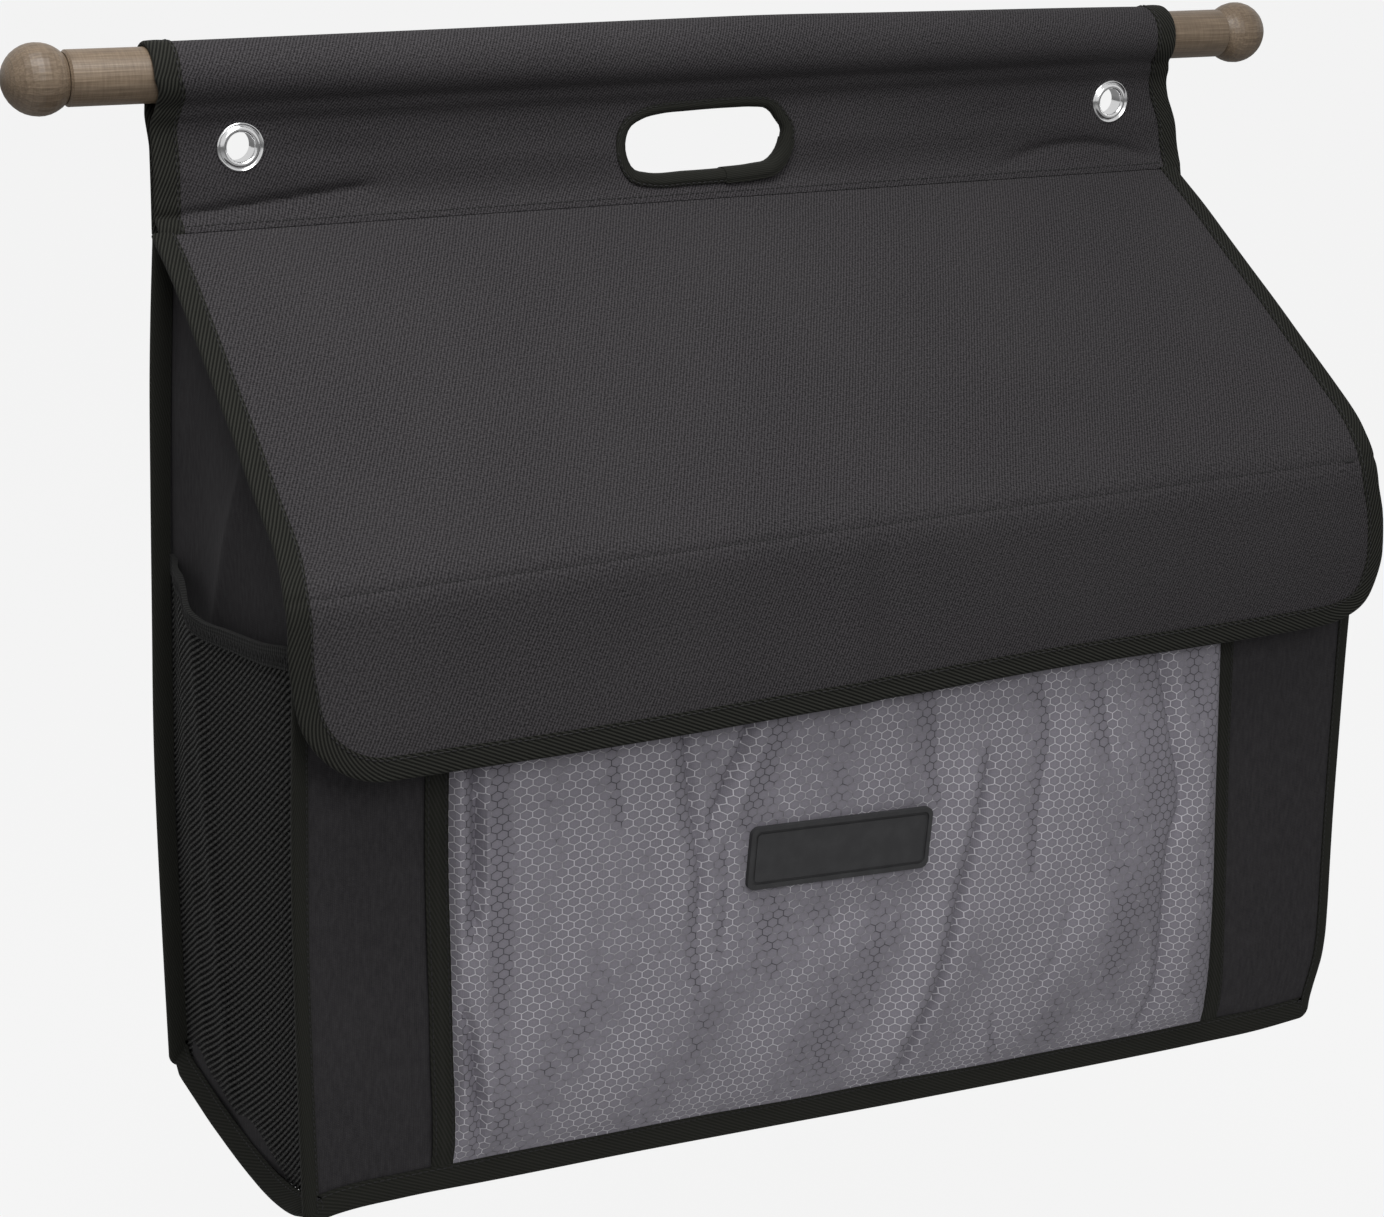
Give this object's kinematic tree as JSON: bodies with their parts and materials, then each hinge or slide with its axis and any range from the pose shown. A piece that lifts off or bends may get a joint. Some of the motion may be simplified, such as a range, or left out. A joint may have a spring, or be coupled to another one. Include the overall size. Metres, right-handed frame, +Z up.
{
  "type": "grooming bag",
  "caption": "Soft grooming bag hung from a ball-ended wooden pole, with a lift-up flap, hand hole, eyelets, side net pockets and a front pocket.",
  "frame": {"origin": "the middle of the pole axis, above the middle of the bag, where the bag hangs from", "axes": "+X along the pole towards the right-hand ball as the front is seen, +Z up, and the front faces -Y"},
  "size_m": [0.7242, 0.2246, 0.5229],
  "materials": {
    "charcoal_twill": "matt woven twill, slightly padded",
    "plain_lining": "plain-woven lining cloth, matt",
    "binding_tape": "ribbed polyester binding tape, matt",
    "pocket_net": "coarse black knitted net",
    "elastic_band": "ribbed woven elastic",
    "honeycomb_ripstop": "light ripstop cloth with a small honeycomb grid, slightly lustrous",
    "weathered_wood": "stained and waxed hardwood, satin",
    "nickel": "bright nickel plate",
    "screw_steel": "zinc-plated steel",
    "moulded_rubber": "soft moulded rubber, matt",
    "stiffener": "hidden stiffener sheet"
  },
  "bodies": {
    "bag": {"header_sleeve": "charcoal_twill", "hand_hole_tape": "binding_tape", "header_tape_left": "binding_tape", "header_tape_right": "binding_tape", "eyelet_left": "nickel", "eyelet_right": "nickel", "eyelet_washer_left": "nickel", "eyelet_washer_right": "nickel", "back_panel": "plain_lining", "back_binding": "binding_tape", "front_panel": "plain_lining", "front_binding": "binding_tape", "front_hem": "charcoal_twill", "side_gusset_left": "plain_lining", "side_gusset_right": "plain_lining", "base_binding_left": "binding_tape", "base_binding_right": "binding_tape", "base_panel": "plain_lining", "base_board": "stiffener", "mesh_pocket_left": "pocket_net", "mesh_pocket_right": "pocket_net", "mesh_elastic_left": "elastic_band", "mesh_elastic_right": "elastic_band", "front_pocket": "honeycomb_ripstop", "pocket_elastic": "elastic_band", "pocket_tape_left": "binding_tape", "pocket_tape_right": "binding_tape", "label_patch": "moulded_rubber"},
    "flap": {"flap_cover": "charcoal_twill", "flap_board": "stiffener", "flap_lining": "plain_lining", "flap_binding_left": "binding_tape", "flap_binding_right": "binding_tape"},
    "flap_drop": {"drop_cover": "charcoal_twill", "drop_lining": "plain_lining", "drop_binding": "binding_tape"},
    "pole": {"pole": "weathered_wood"},
    "finial_left": {"finial_left": "weathered_wood", "dowel_screw_left": "screw_steel"},
    "finial_right": {"finial_right": "weathered_wood", "dowel_screw_right": "screw_steel"}
  },
  "joints": [
    {"name": "flap_lift", "type": "hinge", "parent": "bag", "child": "flap", "pos_m": [0, -0.0116, -0.0739], "axis": [-1, 0, 0], "range_deg": [0, 110]},
    {"name": "drop_fold", "type": "hinge", "parent": "flap", "child": "flap_drop", "pos_m": [0, -0.19048, -0.19869], "axis": [-1, 0, 0], "range_deg": [0, 130]},
    {"name": "pole_slide", "type": "slide", "parent": "bag", "child": "pole", "axis": [1, 0, 0], "range_m": [-0.03, 0.037]},
    {"name": "finial_left_turn", "type": "hinge", "parent": "pole", "child": "finial_left", "pos_m": [-0.3368, 0, 0], "axis": [-1, 0, 0], "continuous": true},
    {"name": "finial_right_turn", "type": "hinge", "parent": "pole", "child": "finial_right", "pos_m": [0.3292, 0, 0], "axis": [1, 0, 0], "continuous": true}
  ]
}
